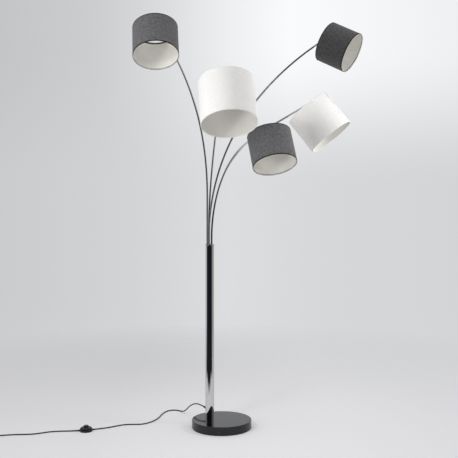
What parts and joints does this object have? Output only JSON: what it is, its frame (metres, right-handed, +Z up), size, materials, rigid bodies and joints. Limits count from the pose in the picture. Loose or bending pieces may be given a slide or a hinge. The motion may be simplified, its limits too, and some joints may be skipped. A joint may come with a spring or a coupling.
{
  "type": "tree floor lamp",
  "caption": "Floor lamp: bright metal arms bend out from the cap of a short pole on a round stone foot, each with a tilting fabric drum shade; foot switch in the lead.",
  "frame": {"origin": "middle of the foot's underside, on the floor", "axes": "+Z up along the pole, -Y towards the picture's camera (the lamp's front), +X to the right of the picture"},
  "size_m": [1.9031, 1.0917, 2.0101],
  "materials": {
    "black_marble": "polished",
    "black_felt": "felt",
    "zinc_steel": "zinc plated",
    "chrome": "polished",
    "black_soft_plastic": "satin",
    "black_plastic": "satin",
    "white_plastic": "satin",
    "nylon": "satin",
    "cord_black": "satin",
    "brass_plated": "nickel plated",
    "white_wire": "white paint",
    "grey_felt": "fine woven, white inside",
    "grey_linen": "fine woven, white inside",
    "dark_grey_linen": "fine woven, white inside",
    "off_white_linen": "fine woven"
  },
  "bodies": {
    "stand": {"stone_foot": "black_marble", "felt_pad": "black_felt", "foot_washer": "zinc_steel", "foot_bolt": "zinc_steel", "foot_insert": "zinc_steel", "pole_tube": "chrome", "strain_relief": "black_soft_plastic", "terminal_block": "white_plastic", "pole_cap": "chrome", "arm_bushes": "black_plastic", "arm_seat": "nylon", "switch_base": "black_plastic", "switch_cover": "black_plastic", "switch_mechanism": "nylon", "cord_to_switch": "cord_black", "cord_to_coil": "cord_black", "cord_coil": "cord_black", "plug_body": "black_soft_plastic", "plug_pins": "brass_plated"},
    "button": {"switch_button": "black_plastic"},
    "left_arm": {"left_arm_tube": "chrome"},
    "left_knuckle": {"left_knuckle_fork": "chrome", "left_knuckle_screw": "chrome"},
    "left_head": {"left_holder_stem": "chrome", "left_lamp_holder": "black_plastic", "left_ring_nut": "black_plastic", "left_shade_wires": "white_wire", "left_shade_cover": "grey_felt"},
    "front_arm": {"front_arm_tube": "chrome"},
    "front_knuckle": {"front_knuckle_fork": "chrome", "front_knuckle_screw": "chrome"},
    "front_head": {"front_holder_stem": "chrome", "front_lamp_holder": "black_plastic", "front_ring_nut": "black_plastic", "front_shade_wires": "white_wire", "front_shade_cover": "off_white_linen"},
    "middle_arm": {"middle_arm_tube": "chrome"},
    "middle_knuckle": {"middle_knuckle_fork": "chrome", "middle_knuckle_screw": "chrome"},
    "middle_head": {"middle_holder_stem": "chrome", "middle_lamp_holder": "black_plastic", "middle_ring_nut": "black_plastic", "middle_shade_wires": "white_wire", "middle_shade_cover": "grey_linen"},
    "high_right_arm": {"high_right_arm_tube": "chrome"},
    "high_right_knuckle": {"high_right_knuckle_fork": "chrome", "high_right_knuckle_screw": "chrome"},
    "high_right_head": {"high_right_holder_stem": "chrome", "high_right_lamp_holder": "black_plastic", "high_right_ring_nut": "black_plastic", "high_right_shade_wires": "white_wire", "high_right_shade_cover": "dark_grey_linen"},
    "right_arm": {"right_arm_tube": "chrome"},
    "right_knuckle": {"right_knuckle_fork": "chrome", "right_knuckle_screw": "chrome"},
    "right_head": {"right_holder_stem": "chrome", "right_lamp_holder": "black_plastic", "right_ring_nut": "black_plastic", "right_shade_wires": "white_wire", "right_shade_cover": "off_white_linen"}
  },
  "joints": [
    {"name": "left_swing", "type": "hinge", "parent": "stand", "child": "left_arm", "pos_m": [-0.074, 0.058, 0.92], "axis": [0, 0, 1], "range_deg": [-30, 20]},
    {"name": "left_swivel", "type": "hinge", "parent": "left_arm", "child": "left_knuckle", "pos_m": [-0.29145, -0.49972, 1.92843], "axis": [-0.3295, -0.8451, 0.421], "range_deg": [-30, 30]},
    {"name": "left_tilt", "type": "hinge", "parent": "left_knuckle", "child": "left_head", "pos_m": [-0.29145, -0.49972, 1.92843], "axis": [0.9413, -0.2591, 0.2166], "range_deg": [-50, 3]},
    {"name": "front_swing", "type": "hinge", "parent": "stand", "child": "front_arm", "pos_m": [-0.06536, 0.04611, 0.92], "axis": [0, 0, 1], "range_deg": [-25, 8]},
    {"name": "front_swivel", "type": "hinge", "parent": "front_arm", "child": "front_knuckle", "pos_m": [0.02209, -0.56076, 1.68331], "axis": [0.1299, -0.9017, 0.4123], "range_deg": [-30, 30]},
    {"name": "front_tilt", "type": "hinge", "parent": "front_knuckle", "child": "front_head", "pos_m": [0.02209, -0.56076, 1.68331], "axis": [0.9889, 0.1482, 0.0125], "range_deg": [-50, 2]},
    {"name": "middle_swing", "type": "hinge", "parent": "stand", "child": "middle_arm", "pos_m": [-0.05139, 0.05065, 0.92], "axis": [0, 0, 1], "range_deg": [-8, 18]},
    {"name": "middle_swivel", "type": "hinge", "parent": "middle_arm", "child": "middle_knuckle", "pos_m": [0.21575, -0.40468, 1.46428], "axis": [0.4948, -0.8434, 0.2096], "range_deg": [-30, 30]},
    {"name": "middle_tilt", "type": "hinge", "parent": "middle_knuckle", "child": "middle_head", "pos_m": [0.21575, -0.40468, 1.46428], "axis": [0.8686, 0.4877, -0.088], "range_deg": [-55, 14]},
    {"name": "high_right_swing", "type": "hinge", "parent": "stand", "child": "high_right_arm", "pos_m": [-0.06536, 0.06989, 0.92], "axis": [0, 0, 1], "range_deg": [-30, 30]},
    {"name": "high_right_swivel", "type": "hinge", "parent": "high_right_arm", "child": "high_right_knuckle", "pos_m": [0.49752, -0.12723, 1.92849], "axis": [0.8077, -0.2829, 0.5173], "range_deg": [-30, 30]},
    {"name": "high_right_tilt", "type": "hinge", "parent": "high_right_knuckle", "child": "high_right_head", "pos_m": [0.49752, -0.12723, 1.92849], "axis": [0.3818, 0.9195, -0.0933], "range_deg": [-45, 30]},
    {"name": "right_swing", "type": "hinge", "parent": "stand", "child": "right_arm", "pos_m": [-0.05139, 0.06535, 0.92], "axis": [0, 0, 1], "range_deg": [-18, 25]},
    {"name": "right_swivel", "type": "hinge", "parent": "right_arm", "child": "right_knuckle", "pos_m": [0.41607, -0.09288, 1.61191], "axis": [0.8363, -0.2831, 0.4695], "range_deg": [-30, 30]},
    {"name": "right_tilt", "type": "hinge", "parent": "right_knuckle", "child": "right_head", "pos_m": [0.41607, -0.09288, 1.61191], "axis": [0.3046, 0.952, 0.0314], "range_deg": [-55, 10]},
    {"name": "button_press", "type": "slide", "parent": "stand", "child": "button", "axis": [0, 0, -1], "range_m": [0, 0.003], "stiffness_N_per_m": 400, "springref_m": -0.003}
  ]
}
